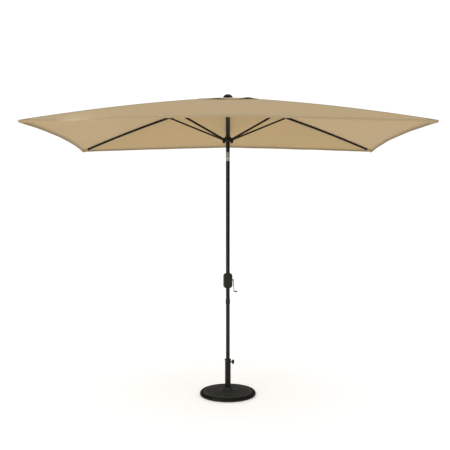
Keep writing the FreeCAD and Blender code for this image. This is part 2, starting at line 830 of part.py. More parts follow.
def make_runner():
    top = runner_height + 26
    low = runner_height - 24
    node("runner_sleeve", turned([
        (pole_radius + 0.4, low + 0.1),
        (pole_radius + 0.4, top - 0.1),
        (pole_radius + 2.2, top - 0.1),
        (pole_radius + 2.2, low + 0.1),
    ]))
    core = turned([
        (pole_radius + 2.3, low),
        (pole_radius + 2.3, top),
        (pole_radius + 6, top),
        (29, top - 12, 16),
        (29, low + 8),
        (pole_radius + 6, low, 16),
    ])
    lugs = []
    slots = []
    for _, turn, _ in rib_turns():
        lug = plate([
            (22, runner_height - 12),
            (22, runner_height + 10),
            (star_radius - 8, runner_height + 10),
            (star_radius, runner_height + 2),
            (star_radius, runner_height - 9),
            (star_radius - 5, runner_height - 31),
            (star_radius - 14, runner_height - 31),
            (star_radius - 17, runner_height - 12),
        ], slot_width + 6)
        lugs.append(about_pole(lug, turn))
        slot = fixed_box(40, slot_width, 120, (33, -slot_width / 2, runner_height - 60))
        slots.append(about_pole(slot, turn))
    bore = cylinder(pole_radius + 2.3, 120, (0, 0, runner_height - 60))
    node("runner_hub", cut(fuse(core, *lugs), bore, *slots))


# Ribs and struts ------------------------------------------------------------------------------
def band(root, root_height, tip, tip_height, bow, low, high):
    """The side view of a bowed bar between two heights above its middle line."""
    return [
        (root, root_height + low),
        (root, root_height + high),
        (tip, tip_height + high, bow),
        (tip, tip_height + low),
    ], -number(bow)


def arc_height(out, start, end, radius):
    """Height, at a distance out, of the arc that bows up from start to end."""
    chord = Vector(end[0] - start[0], end[1] - start[1], 0)
    side = Vector(chord.y, -chord.x, 0).normalize()
    rise = math.sqrt(radius * radius - chord.Length * chord.Length / 4)
    middle = Vector((start[0] + end[0]) / 2, (start[1] + end[1]) / 2, 0) + side * rise
    return middle.y + math.sqrt(radius * radius - (out - middle.x) ** 2)


def rib_sizes(kind):
    if kind == "corner":
        return (corner_root_height, corner_tip, corner_tip_height, corner_bow,
                corner_pivot_height, corner_joint_height)
    return (middle_root_height, middle_tip, middle_tip_height, middle_bow,
            middle_pivot_height, middle_joint_height)


def round_bar(start, end, half, thickness):
    """A straight bar with a round eye at each end."""
    first = Vector(number(start[0]), number(start[1]), 0)
    last = Vector(number(end[0]), number(end[1]), 0)
    along = (last - first).normalize()
    side = Vector(-along.y, along.x, 0) * half
    corners = [first - side, first + side, last + side, last - side]
    bar = plate([(corner.x, corner.y) for corner in corners], thickness)
    eyes = [fixed_pin(half, thickness, point[0], point[1]) for point in (start, end)]
    return fuse(bar, *eyes)


def make_rib(index, turn, kind):
    root_height, tip, tip_height, bow, pivot_height, joint_height = rib_sizes(kind)
    half = rib_deep / 2
    outline, closing = band(rib_root, root_height, tip, tip_height, bow, -half, half)
    outline[0] = (*outline[0], closing)
    inner = half - rib_wall
    opening, closing = band(rib_root - 5, root_height + 1, tip + 5, tip_height - 1.4, bow,
                            -inner, inner)
    opening[0] = (*opening[0], closing)
    bar = hollow(plate(outline, rib_width), opening, rib_width - rib_wall * 2)

    pivot = (pivot_radius, pivot_height)
    root = (number(rib_root), number(root_height))
    end = (number(tip), number(tip_height))
    tang_end = arc_height(105, root, end, number(bow))
    tang = cut(round_bar(pivot, (105, tang_end), 5.4, 8),
               fixed_pin(pin_radius + running_gap, 20, pivot_radius, pivot_height))

    reach = number(joint_reach)
    middle = arc_height(reach, root, end, number(bow))
    low = number(joint_height) - 7
    cheeks = []
    for start in (6.1, -7.6):
        cheek = fixed_box(22, 1.5, middle + 3 - low, (reach - 11, start, low))
        cheeks.append(cut(cheek, fixed_pin(pin_radius + 0.05, 30, joint_reach, joint_height)))
    rivet = fixed_pin(pin_radius, 17, joint_reach, joint_height)

    inside = number(inner) - 0.9
    stub = [
        (end[0] - 30, arc_height(end[0] - 30, root, end, number(bow)) - inside),
        (end[0] - 30, arc_height(end[0] - 30, root, end, number(bow)) + inside),
        (end[0] + 0.05, end[1] + inside),
        (end[0] + 0.05, end[1] - inside),
    ]
    cap_half = number(half)
    cap = fixed_box(6, rib_width, rib_deep, (end[0] + 0.05, -rib_width / 2, end[1] - cap_half))
    tip_plug = fuse(plate(stub, rib_width - rib_wall * 2 - 0.4), cap)
    node(f"rib_{index}", about_pole(group(bar, tang, *cheeks, rivet, tip_plug), turn))


def make_strut(index, turn, kind):
    joint_height = rib_sizes(kind)[5]
    joint = (joint_reach, joint_height)
    foot = (pivot_radius, runner_height)
    half = number(strut_deep) / 2
    wall = number(strut_wall)
    bar = round_bar(foot, joint, half, strut_width)
    first = Vector(number(foot[0]), number(foot[1]), 0)
    last = Vector(number(joint[0]), number(joint[1]), 0)
    along = (last - first).normalize()
    side = Vector(-along.y, along.x, 0)
    begin = first - along * (half + 3)
    finish = last + along * (half + 3)
    channel = plate([
        ((begin - side * (half + 3)).x, (begin - side * (half + 3)).y),
        ((begin + side * (half - wall)).x, (begin + side * (half - wall)).y),
        ((finish + side * (half - wall)).x, (finish + side * (half - wall)).y),
        ((finish - side * (half + 3)).x, (finish - side * (half + 3)).y),
    ], strut_width - strut_wall * 2)
    eye = fixed_pin(pin_radius + running_gap, 20, joint_reach, joint_height)
    trunnion = fixed_pin(3, slot_width - 0.8, pivot_radius, runner_height)
    strut = fuse(cut(bar, channel, eye), trunnion)
    node(f"strut_{index}", about_pole(group(strut), turn))


# Canopy ---------------------------------------------------------------------------------------
def fabric_line(kind, share):
    """A point of the cloth's rib line: distance out and height, at a share of its length."""
    apex = (0, number(apex_height))
    if kind == "corner":
        reach, tip_height, bow = corner_reach, corner_height, corner_bow
    else:
        reach, tip_height, bow = number(half_depth - long_hem_inset), long_hem_height, middle_bow
    out = share * reach
    return out, arc_height(out, apex, (reach, number(tip_height)), number(bow))


def cap_line(kind, share):
    """The same for the vent cap, whose rib lines are straight."""
    if kind == "corner":
        reach, low = math.hypot(number(cap_half_length), number(cap_half_depth)), cap_corner_height
    else:
        reach, low = number(cap_half_depth), cap_side_height
    return share * reach, number(cap_height) + (number(low) - number(cap_height)) * share


def rib_point(line, rib, share):
    _, turn, kind = rib
    out, height = line(kind, share)
    angle = math.radians(turn)
    return Vector(out * math.cos(angle), out * math.sin(angle), height)


def hem_share(line, first, second, across, inset):
    """How far out the hem lies, so that it draws in smoothly between two corners."""
    one = rib_point(line, first, 1)
    two = rib_point(line, second, 1)
    flat = one * (1 - across) + two * across
    if first[2] == second[2]:
        draw_in = number(inset) * 4 * across * (1 - across)
        return 1 - draw_in / abs(flat.x)
    from_middle = across if second[2] == "corner" else 1 - across
    edge = max(abs(one.y), abs(two.y))
    draw_in = edge - min(abs(one.y), abs(two.y))
    return (edge - draw_in * (1 - from_middle * from_middle)) / abs(flat.y)


def gore(line, first, second, start, span, inset, thickness, lift):
    """A piece of cloth between two ribs: ruled from one to the other, over a span of the way."""
    steps_out = 8
    steps_across = 6
    rows = []
    for row in range(steps_out + 1):
        points = []
        for column in range(steps_across + 1):
            across = span[0] + (span[1] - span[0]) * column / steps_across
            limit = hem_share(line, first, second, across, inset)
            share = start + (limit - start) * row / steps_out
            point = rib_point(line, first, share) * (1 - across)
            point += rib_point(line, second, share) * across
            point.z += lift * (row / steps_out) ** 3 * 4 * across * (1 - across)
            points.append(point)
        rows.append(points)
    surface = Part.BSplineSurface()
    surface.interpolate(rows)
    return surface.toShape().extrude(Vector(0, 0, -thickness))


def make_canopy():
    ribs = rib_turns()
    thickness = number(fabric_thickness)
    start = number(vent_opening)
    seam = 0.0005
    for place_in_turn, rib in enumerate(ribs):
        before = ribs[place_in_turn - 1]
        after = ribs[(place_in_turn + 1) % len(ribs)]
        halves = [
            gore(fabric_line, before, rib, start, (0.5 + seam, 1), short_hem_inset, thickness, 0),
            gore(fabric_line, rib, after, start, (0, 0.5 - seam), short_hem_inset, thickness, 0),
        ]
        shape_node(f"canopy_{rib[0]}", Part.makeCompound(halves))
    gores = []
    for place_in_turn, rib in enumerate(ribs):
        after = ribs[(place_in_turn + 1) % len(ribs)]
        lift = number(cap_edge_lift)
        gores.append(gore(cap_line, rib, after, 0.04, (0, 1), 8, thickness, lift))
    shape_node("vent_cap", Part.makeCompound(gores))


make_base()
make_stand_tube()
make_clamp()
make_poles()
make_tilt_joint()
make_crank_housing()
make_crank()
make_lift_cord()
make_pulley()
make_crown()
make_runner()
for rib_number, rib_turn, rib_kind in rib_turns():
    make_rib(rib_number, rib_turn, rib_kind)
    make_strut(rib_number, rib_turn, rib_kind)
make_canopy()
doc.recompute()

# Checks, and one file for each sub-part -------------------------------------------------------
for thing in doc.Objects:
    if "Invalid" in thing.State or "Error" in thing.State:
        raise RuntimeError(f"{thing.Name} ({thing.Label}) is {thing.State}")
os.makedirs("parts", exist_ok=True)
for thing in nodes:
    if thing.Shape.isNull() or not thing.Shape.isValid() or not thing.Shape.Solids:
        raise RuntimeError(f"{thing.Label} has no valid solid")
    thing.Shape.exportStep(f"parts/{thing.Label}.step")
    print(thing.Label, len(thing.Shape.Solids), round(thing.Shape.Volume))
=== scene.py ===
import json
import math
from collections import namedtuple

import bmesh
import bpy
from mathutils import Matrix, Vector


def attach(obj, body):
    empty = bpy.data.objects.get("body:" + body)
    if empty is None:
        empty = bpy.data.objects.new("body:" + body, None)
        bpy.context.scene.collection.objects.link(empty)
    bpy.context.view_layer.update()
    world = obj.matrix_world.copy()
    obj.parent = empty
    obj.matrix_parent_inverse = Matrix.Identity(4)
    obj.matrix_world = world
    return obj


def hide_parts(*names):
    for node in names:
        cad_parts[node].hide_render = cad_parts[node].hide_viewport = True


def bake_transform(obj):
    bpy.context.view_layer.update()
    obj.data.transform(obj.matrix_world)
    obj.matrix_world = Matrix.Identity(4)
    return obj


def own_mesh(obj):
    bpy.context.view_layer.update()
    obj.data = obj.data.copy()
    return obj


# A rectangular market umbrella, open, standing in its round base. Metres, +Z up.

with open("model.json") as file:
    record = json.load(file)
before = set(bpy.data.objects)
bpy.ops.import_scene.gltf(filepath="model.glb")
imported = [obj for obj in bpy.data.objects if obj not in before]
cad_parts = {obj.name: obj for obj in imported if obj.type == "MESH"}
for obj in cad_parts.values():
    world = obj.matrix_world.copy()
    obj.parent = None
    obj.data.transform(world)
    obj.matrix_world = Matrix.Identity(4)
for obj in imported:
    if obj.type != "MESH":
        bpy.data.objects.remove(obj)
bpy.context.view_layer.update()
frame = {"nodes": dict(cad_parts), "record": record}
scene = bpy.context.scene


def link(obj):
    scene.collection.objects.link(obj)
    return obj


def mesh_object(name, mesh, crease):
    """Turn a bmesh into an object that is smooth wherever it bends less than the crease."""
    bmesh.ops.recalc_face_normals(mesh, faces=mesh.faces)
    for edge in mesh.edges:
        edge.smooth = edge.calc_face_angle(0) < math.radians(crease)
    for face in mesh.faces:
        face.smooth = True
    data = bpy.data.meshes.new(name)
    mesh.to_mesh(data)
    mesh.free()
    return link(bpy.data.objects.new(name, data))


# Nodes and materials --------------------------------------------------------------------------
class Nodes:
    """Short ways to put nodes into a material's or a world's tree."""

    def __init__(self, tree):
        self.tree = tree

    def add(self, kind, inputs, **settings):
        made = self.tree.nodes.new(f"ShaderNode{kind}")
        for key, value in settings.items():
            setattr(made, key, value)
        for key, value in inputs.items():
            if isinstance(value, bpy.types.NodeSocket):
                self.tree.links.new(value, made.inputs[key])
            else:
                made.inputs[key].default_value = value
        return made

    def math(self, operation, first, second=0.0):
        return self.add("Math", {0: first, 1: second}, operation=operation).outputs[0]

    def span(self, value, low, high, to_low=0.0, to_high=1.0):
        inputs = {"Value": value, "From Min": low, "From Max": high,
                  "To Min": to_low, "To Max": to_high}
        return self.add("MapRange", inputs).outputs[0]


class Paint(Nodes):
    """A Principled material. Its patterns are laid out in the piece's own coordinates."""

    def __init__(self, name, roughness, metallic=0.0, specular=0.5):
        self.material = bpy.data.materials.new(name)
        self.material.use_nodes = True
        super().__init__(self.material.node_tree)
        self.shader = self.tree.nodes["Principled BSDF"]
        self.set("Roughness", roughness)
        self.set("Metallic", metallic)
        self.set("Specular IOR Level", specular)
        self.places = self.tree.nodes.new("ShaderNodeTexCoord")

    def set(self, socket, value):
        self.shader.inputs[socket].default_value = value

    def feed(self, socket, output):
        self.tree.links.new(output, self.shader.inputs[socket])

    def spot(self, kind="Object", stretch=(1, 1, 1), turn=(0, 0, 0)):
        inputs = {"Vector": self.places.outputs[kind], "Scale": stretch, "Rotation": turn}
        return self.add("Mapping", inputs).outputs[0]

    def noise(self, scale, detail=3.0, vector=None, rough=0.5):
        inputs = {"Scale": scale, "Detail": detail, "Roughness": rough}
        inputs["Vector"] = vector or self.places.outputs["Object"]
        return self.add("TexNoise", inputs).outputs["Fac"]

    def cells(self, scale):
        inputs = {"Scale": scale, "Vector": self.places.outputs["Object"]}
        return self.add("TexVoronoi", inputs).outputs["Distance"]

    def mix(self, share, first, second):
        made = self.add("Mix", {0: share}, data_type="RGBA")
        for index, value in ((6, first), (7, second)):
            if isinstance(value, bpy.types.NodeSocket):
                self.tree.links.new(value, made.inputs[index])
            else:
                made.inputs[index].default_value = (*value, 1)
        return made.outputs[2]

    def bump(self, height, strength, distance, under=None):
        inputs = {"Height": height, "Strength": strength, "Distance": distance}
        if under is not None:
            inputs["Normal"] = under
        return self.add("Bump", inputs).outputs[0]


def scaled(colour, factor):
    return tuple(min(1.0, channel * factor) for channel in colour)


def greyed(colour, share):
    grey = sum(colour) / 3
    return tuple(channel + (grey - channel) * share for channel in colour)


def coated_metal(name, colour, roughness, specular):
    """Powder-coated steel: fine orange peel, faint cloudiness and pale flecks."""
    paint = Paint(name, roughness, 0.0, specular)
    cloud = paint.noise(9, 4)
    fleck = paint.span(paint.noise(900, 2), 0.56, 0.70)
    body = paint.mix(cloud, scaled(colour, 0.72), scaled(colour, 1.3))
    paint.feed("Base Color", paint.mix(fleck, body, scaled(colour, 2.3)))
    paint.feed("Roughness", paint.span(paint.noise(60, 3), 0.3, 0.7,
                                       roughness - 0.07, roughness + 0.07))
    peel = paint.bump(paint.noise(420, 2), 0.1, 0.0005)
    paint.feed("Normal", paint.bump(paint.noise(1500, 1), 0.08, 0.0002, peel))
    return paint.material


def moulded(name, colour, roughness, specular=0.4, grain=1100.0):
    """Moulded plastic: an eroded grain with slight wear in colour and gloss."""
    paint = Paint(name, roughness, 0.0, specular)
    wear = paint.noise(14, 5)
    paint.feed("Base Color", paint.mix(wear, scaled(colour, 0.78), scaled(colour, 1.25)))
    paint.feed("Roughness", paint.span(wear, 0.3, 0.7, roughness - 0.08, roughness + 0.08))
    paint.feed("Normal", paint.bump(paint.cells(grain), 0.22, 0.0004))
    return paint.material


def relief_with_painted_light(name, colour):
    """The base's resin, painted paler on the crests of its relief and darker in the hollows:
    painted highlight and painted shade.
    """
    paint = Paint(name, 0.5, 0.0, 0.12)
    painted_light_share = paint.add("Attribute", {}, attribute_name="relief_light").outputs["Fac"]
    wear = paint.noise(14, 5)
    # Painted light: from a fifth of the resin's colour in painted shade to 3.4 times it in painted
    # highlight
    body = paint.mix(painted_light_share, scaled(colour, 0.2), scaled(colour, 3.4))
    paint.feed("Base Color", paint.mix(paint.math("MULTIPLY", wear, 0.25), body, colour))
    paint.feed("Roughness", paint.span(wear, 0.3, 0.7, 0.42, 0.58))
    paint.feed("Normal", paint.bump(paint.cells(600.0), 0.22, 0.0004))
    return paint.material


def bare_metal(name, colour, roughness, stretch=(1, 1, 40)):
    """Bare metal with fine lines along its making."""
    paint = Paint(name, roughness, 1.0, 0.5)
    lines = paint.noise(90, 4, paint.spot(stretch=stretch))
    cloud = paint.noise(30, 3)
    paint.feed("Base Color", paint.mix(cloud, scaled(colour, 0.8), scaled(colour, 1.12)))
    paint.feed("Roughness", paint.span(lines, 0.3, 0.7, roughness - 0.08, roughness + 0.12))
    paint.feed("Normal", paint.bump(lines, 0.12, 0.0003))
    return paint.material


def stone_mix(name, colour):
    """Poured ballast: stones in a sandy ground."""
    paint = Paint(name, 0.9, 0.0, 0.3)
    sand = paint.noise(160, 6)
    stones = paint.mix(paint.cells(70.0), scaled(colour, 0.7), scaled(colour, 1.2))
    paint.feed("Base Color", paint.mix(sand, stones, scaled(colour, 0.9)))
    paint.feed("Normal", paint.bump(sand, 0.5, 0.002))
    return paint.material


def rubbery(name, colour):
    """Dull rubber with a little dust."""
    paint = Paint(name, 0.85, 0.0, 0.3)
    dust = paint.noise(55, 5)
    paint.feed("Base Color", paint.mix(dust, colour, scaled(colour, 2.2)))
    paint.feed("Normal", paint.bump(paint.noise(700, 3), 0.3, 0.0005))
    return paint.material


def braided(name, colour):
    """Braided cord: slanting strands."""
    paint = Paint(name, 0.8, 0.0, 0.25)
    strands = paint.add("TexWave", {
        "Vector": paint.spot(turn=(0.6, 0.6, 0)), "Scale": 420.0, "Distortion": 0.6,
    }, wave_type="BANDS").outputs["Fac"]
    paint.feed("Base Color", paint.mix(strands, scaled(colour, 0.5), scaled(colour, 1.4)))
    paint.feed("Normal", paint.bump(strands, 0.6, 0.0005))
    return paint.material


HEM_WIDTH = 0.025
HEM_BLUR = 0.0015
STITCH_ROWS = (0.004, 0.0225)


def woven(name, colour, edge_tone=0.84):
    """Woven polyester: warp and weft, slubs, a faint cloudiness, and two rows of stitches."""
    paint = Paint(name, 0.88, 0.0, 0.2)
    paint.set("Sheen Weight", 0.12)
    paint.set("Sheen Roughness", 0.6)
    threads = []
    for turn, slub_stretch in ((0.0, (1, 14, 1)), (math.pi / 2, (14, 1, 1))):
        ribs = paint.add("TexWave", {
            "Vector": paint.spot("UV", turn=(0, 0, turn)), "Scale": 240.0,
            "Distortion": 0.8, "Detail": 1.0, "Detail Scale": 2.0,
        }, wave_type="BANDS").outputs["Fac"]
        slubs = paint.noise(55, 3, paint.spot("UV", stretch=slub_stretch))
        threads.append(paint.math("MULTIPLY", ribs, paint.span(slubs, 0.3, 0.75, 0.75, 1.1)))
    weave = paint.math("MAXIMUM", *threads)
    cloud = paint.noise(2.2, 5, rough=0.6)
    ground = paint.mix(cloud, scaled(colour, 0.955), scaled(colour, 1.04))
    cloth = paint.mix(paint.span(weave, 0.0, 1.0, 0.16, 0.0), ground, scaled(colour, 0.62))
    hem = paint.add("Attribute", {}, attribute_name="hem").outputs["Fac"]
    run = paint.add("Attribute", {}, attribute_name="run").outputs["Fac"]
    band = paint.span(hem, HEM_WIDTH - HEM_BLUR, HEM_WIDTH + HEM_BLUR, 1.0, 0.0)
    cloth = paint.mix(band, cloth, greyed(scaled(colour, edge_tone), 1.1 * (1 - edge_tone)))
    dash = paint.span(paint.math("SINE", paint.math("MULTIPLY", run, 1600.0)), -0.35, 0.1)
    rows = []
    for distance in STITCH_ROWS:
        off = paint.math("ABSOLUTE", paint.math("SUBTRACT", hem, distance))
        rows.append(paint.span(off, 0.0006, 0.0011, 1.0, 0.0))
    stitch = paint.math("MULTIPLY", paint.math("MAXIMUM", *rows), dash)
    paint.feed("Base Color", paint.mix(stitch, cloth, scaled(colour, 1.22)))
    height = paint.math("ADD", weave, paint.math("MULTIPLY", stitch, 2.5))
    paint.feed("Normal", paint.bump(height, 0.2, 0.0003))
    return paint.material


TAN = (0.43, 0.303, 0.139)
BRONZE = (0.006, 0.0057, 0.0045)


def make_materials():
    """One material for each of the record's slots, then those that only one piece wears."""
    return {
        "base_resin": moulded("base_resin", (0.0205, 0.0205, 0.015), 0.5, 0.3, 600.0),
        "concrete": stone_mix("concrete", (0.36, 0.35, 0.33)),
        "rubber": rubbery("rubber", (0.018, 0.018, 0.018)),
        "bronze_steel": coated_metal("bronze_steel", BRONZE, 0.24, 0.16),
        "zinc_steel": bare_metal("zinc_steel", (0.55, 0.55, 0.53), 0.34),
        "black_plastic": moulded("black_plastic", (0.0155, 0.0155, 0.0112), 0.4, 0.16),
        "nylon": moulded("nylon", (0.62, 0.6, 0.54), 0.5),
        "brass": bare_metal("brass", (0.62, 0.43, 0.16), 0.3),
        "cast_aluminium": bare_metal("cast_aluminium", (0.42, 0.42, 0.4), 0.4, (1, 1, 1)),
        "crank_metal": bare_metal("crank_metal", (0.3, 0.3, 0.29), 0.38),
        "grip_plastic": moulded("grip_plastic", (0.09, 0.09, 0.086), 0.5),
        "lift_cord": braided("lift_cord", (0.05, 0.045, 0.035)),
        "rib_steel": coated_metal("rib_steel", (0.006, 0.0052, 0.0042), 0.45, 0.2),
        "canopy_fabric": woven("canopy_fabric", TAN),
        "trim": woven("trim", TAN, 1.0),
        # The base cover's resin, with painted highlight and painted shade
        "base_painted_light": relief_with_painted_light("base_painted_light", (0.017, 0.0172, 0.013)),
        "satin_silver": moulded("satin_silver", (0.36, 0.36, 0.35), 0.4),
        "satin_grey": moulded("satin_grey", (0.17, 0.17, 0.16), 0.4),
        "deep_black": moulded("deep_black", (0.0035, 0.0035, 0.0033), 0.5, 0.25),
    }


# The CAD pieces whose look differs from the rest of their slot
OWN_LOOK = {"tilt_lower_knuckle": "satin_silver", "tilt_upper_knuckle": "satin_grey",
            "pole_coupler": "deep_black"}


def dress_frame(materials):
    slots = {row["node"]: row["material_slot"] for row in frame["record"]["subparts"]}
    for name, node in frame["nodes"].items():
        node.data.materials.clear()
        node.data.materials.append(materials[OWN_LOOK.get(name, slots[name])])


# Stage ----------------------------------------------------------------------------------------
CAMERA_SPOT = (-0.0206, -5.397, 1.5495)
CAMERA_SHIFT = (-1 / 900, -1 / 60)
LENS = 49.28
SENSOR = 36.0
SOFT_LIGHT = 1.22
REFLECTED_LIGHT = 0.1
SEEN_WHITE = 1.05
FLAG_START = 0.25
FLAG_END = 0.95
FLAG_SHADE = 0.15
FLOOR_REACH = 60
FLOOR_DROP = 0.0003


def make_camera():
    data = bpy.data.cameras.new("view")
    data.sensor_width = SENSOR
    data.lens = LENS
    data.shift_x, data.shift_y = CAMERA_SHIFT
    data.clip_end = 200
    camera = link(bpy.data.objects.new("view", data))
    camera.location = CAMERA_SPOT
    camera.rotation_euler = (math.radians(90), 0, 0)
    scene.camera = camera


def make_lamp(name, spot, aim, power):
    """An area lamp that the camera doesn't see."""
    data = bpy.data.lights.new(name, "AREA")
    data.energy = power
    lamp = link(bpy.data.objects.new(name, data))
    lamp.location = spot
    lamp.rotation_euler = (Vector(aim) - Vector(spot)).to_track_quat("-Z", "Y").to_euler()
    lamp.visible_camera = False
    return lamp


def make_round_lamp(name, spot, aim, size, power):
    lamp = make_lamp(name, spot, aim, power)
    lamp.data.shape = "DISK"
    lamp.data.size = size


def make_strip_lamp(name, spot, aim, width, tall, power):
    """A narrow upright lamp that only shows in glossy pieces."""
    lamp = make_lamp(name, spot, aim, power)
    lamp.data.shape = "RECTANGLE"
    lamp.data.size = width
    lamp.data.size_y = tall
    lamp.visible_diffuse = False


def make_world():
    """White to the camera, bright for soft light, darker at the sides and in reflections."""
    world = bpy.data.worlds.new("studio")
    world.use_nodes = True
    nodes = Nodes(world.node_tree)
    ray = nodes.add("LightPath", {}).outputs
    strength = nodes.span(ray["Is Glossy Ray"], 0, 1, SOFT_LIGHT, REFLECTED_LIGHT)
    places = nodes.add("TexCoord", {}).outputs["Generated"]
    sideways = nodes.math("ABSOLUTE", nodes.add("SeparateXYZ", {0: places}).outputs["X"])
    flags = nodes.span(sideways, FLAG_START, FLAG_END, 1.0, FLAG_SHADE)
    lit = nodes.math("MULTIPLY", strength, flags)
    seen = nodes.add("Mix", {0: ray["Is Camera Ray"], 2: lit, 3: SEEN_WHITE}, data_type="FLOAT")
    background = nodes.tree.nodes["Background"]
    background.inputs["Color"].default_value = (1, 1, 1, 1)
    nodes.tree.links.new(seen.outputs[0], background.inputs["Strength"])
    scene.world = world


def make_floor():
    data = bpy.data.meshes.new("floor")
    corners = [(-FLOOR_REACH, -FLOOR_REACH, 0), (FLOOR_REACH, -FLOOR_REACH, 0),
               (FLOOR_REACH, FLOOR_REACH, 0), (-FLOOR_REACH, FLOOR_REACH, 0)]
    data.from_pydata(corners, [], [(0, 1, 2, 3)])
    floor = link(bpy.data.objects.new("floor", data))
    floor.location.z = -FLOOR_DROP
    paint = Paint("floor", 0.9, 0.0, 0.0)
    paint.set("Base Color", (0.985, 0.985, 0.985, 1))
    paint.set("Emission Color", (1, 1, 1, 1))
    paint.set("Emission Strength", 0.16)
    data.materials.append(paint.material)


# The lines of the canopy and its cap ----------------------------------------------------------
Rib = namedtuple("Rib", "number turn kind")
CORNER_TURN = math.atan2(1.0, 1.5)
RIBS = [
    Rib(1, CORNER_TURN, "corner"),
    Rib(2, math.pi / 2, "middle"),
    Rib(3, math.pi - CORNER_TURN, "corner"),
    Rib(4, math.pi + CORNER_TURN, "corner"),
    Rib(5, math.pi * 1.5, "middle"),
    Rib(6, math.pi * 2 - CORNER_TURN, "corner"),
]
APEX = 2.6014
# The cloth over each kind of rib: reach, height of the tip, radius of the bow
CANOPY = {"corner": (math.hypot(1.5, 1.0), 2.2451, 18.2), "middle": (0.975, 2.287, 19.7)}
LONG_INSET = 0.025
SHORT_INSET = 0.045
VENT_SHARE = 0.11
CAP_TOP = 2.602
# The cap over each kind of rib: reach, height of the edge
CAP = {"corner": (math.hypot(0.255, 0.17), 2.5575), "middle": (0.17, 2.5545)}
CAP_INSET = 0.008


def bowed(out, reach, low, radius, top):
    """Height of the shallow arc that runs from the top at the axis to the tip."""
    drop = low - top
    chord = math.hypot(reach, drop)
    side = (drop / chord, -reach / chord)
    rise = math.sqrt(radius * radius - chord * chord / 4)
    middle = (reach / 2 + side[0] * rise, (top + low) / 2 + side[1] * rise)
    return middle[1] + math.sqrt(radius * radius - (out - middle[0]) ** 2)


def canopy_line(kind, share):
    reach, low, radius = CANOPY[kind]
    return share * reach, bowed(share * reach, reach, low, radius, APEX)


def cap_line(kind, share):
    reach, low = CAP[kind]
    return share * reach, CAP_TOP + (low - CAP_TOP) * share


def on_rib(line, rib, share):
    out, height = line(rib.kind, share)
    return Vector((out * math.cos(rib.turn), out * math.sin(rib.turn), height))


def between(line, first, second, across, share):
    return on_rib(line, first, share) * (1 - across) + on_rib(line, second, share) * across


def is_short(first, second):
    """Whether the gore between two ribs is one of the two at the canopy's short ends."""
    return first.kind == second.kind


def hem_share(line, first, second, across, inset):
    """How far out the hem lies: the short ends draw in, the long sides meet their middle rib."""
    one = on_rib(line, first, 1)
    two = on_rib(line, second, 1)
    flat = between(line, first, second, across, 1)
    if is_short(first, second):
        return 1 - inset * 4 * across * (1 - across) / abs(flat.x)
    from_middle = across if second.kind == "corner" else 1 - across
    near, far = sorted((abs(one.y), abs(two.y)))
    return (far - (far - near) * (1 - from_middle ** 2)) / abs(flat.y)


def split_at(line, first, second):
    """How far across the gore lies the line halfway in angle between its two ribs."""
    if is_short(first, second):
        return 0.5
    half_turn = (first.turn + second.turn) / 2
    away = Vector((-math.sin(half_turn), math.cos(half_turn), 0))
    one = on_rib(line, first, 1).dot(away)
    two = on_rib(line, second, 1).dot(away)
    return one / (one - two)


# Cloth ----------------------------------------------------------------------------------------
CLOTH = 0.0012
HEM_CLOTH = 0.0022
CLOTH_CREASE = 50
STATIONS = 16
CROWDING = 1.35


def lay_grid(mesh, top, under):
    """Faces of a thin closed sheet, from its top and under vertices in columns of rows."""
    count, rows = len(top), len(top[0])
    for c in range(count - 1):
        for r in range(rows - 1):
            mesh.faces.new((top[c][r], top[c][r + 1], top[c + 1][r + 1], top[c + 1][r]))
            mesh.faces.new((under[c][r], under[c + 1][r], under[c + 1][r + 1], under[c][r + 1]))
    for c in (0, count - 1):
        for r in range(rows - 1):
            mesh.faces.new((top[c][r], top[c][r + 1], under[c][r + 1], under[c][r]))
    for r in (0, rows - 1):
        for c in range(count - 1):
            mesh.faces.new((top[c][r], top[c + 1][r], under[c + 1][r], under[c][r]))


def cloth_sheet(name, columns, runs):
    """A thin closed sheet. Each column is a list of (point, distance to the hem)."""
    rows = len(columns[0])
    count = len(columns)
    grid = [[point for point, _ in column] for column in columns]
    mesh = bmesh.new()
    hem_layer = mesh.verts.layers.float.new("hem")
    run_layer = mesh.verts.layers.float.new("run")
    uv_layer = mesh.loops.layers.uv.new("weave")
    sides = []
    spots = {}
    for side in (1, -1):
        layer = []
        for c in range(count):
            line = []
            for r in range(rows):
                across = grid[min(c + 1, count - 1)][r] - grid[max(c - 1, 0)][r]
                along = grid[c][min(r + 1, rows - 1)] - grid[c][max(r - 1, 0)]
                normal = along.cross(across).normalized()
                distance = columns[c][r][1]
                half = (HEM_CLOTH if distance < HEM_WIDTH else CLOTH) / 2
                vert = mesh.verts.new(grid[c][r] + normal * (half * side))
                vert[hem_layer] = distance
                vert[run_layer] = runs[c]
                spots[vert] = (runs[c], distance)
                line.append(vert)
            layer.append(line)
        sides.append(layer)
    lay_grid(mesh, *sides)
    for face in mesh.faces:
        for loop in face.loops:
            loop[uv_layer].uv = spots[loop.vert]
    return mesh_object(name, mesh, CLOTH_CREASE)


def sector_stations(line, index):
    """The places across a rib's own cloth: (gore, first rib, second rib, across), in order."""
    before, rib, after = RIBS[index - 1], RIBS[index], RIBS[(index + 1) % 6]
    steps = [(k / STATIONS) ** CROWDING for k in range(STATIONS + 1)]
    left_split = split_at(line, before, rib)
    right_split = split_at(line, rib, after)
    left = [((index - 1) % 6, before, rib, 1 - (1 - left_split) * s) for s in reversed(steps)]
    right = [(index, rib, after, right_split * s) for s in steps[1:]]
    return left + right


def fill_rows(distances, count):
    """Add rows next to the first until every column has the same number."""
    while len(distances) < count:
        distances.insert(1, (distances[0] + distances[1]) / 2)
    return distances


def tangent_of(rib):
    return (-math.sin(rib.turn), math.cos(rib.turn), 0)


def fold_with(obj, rib):
    """The cloth rides on its rib, with a mesh of its own."""
    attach(obj, f"rib_{rib.number}")
    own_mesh(obj)


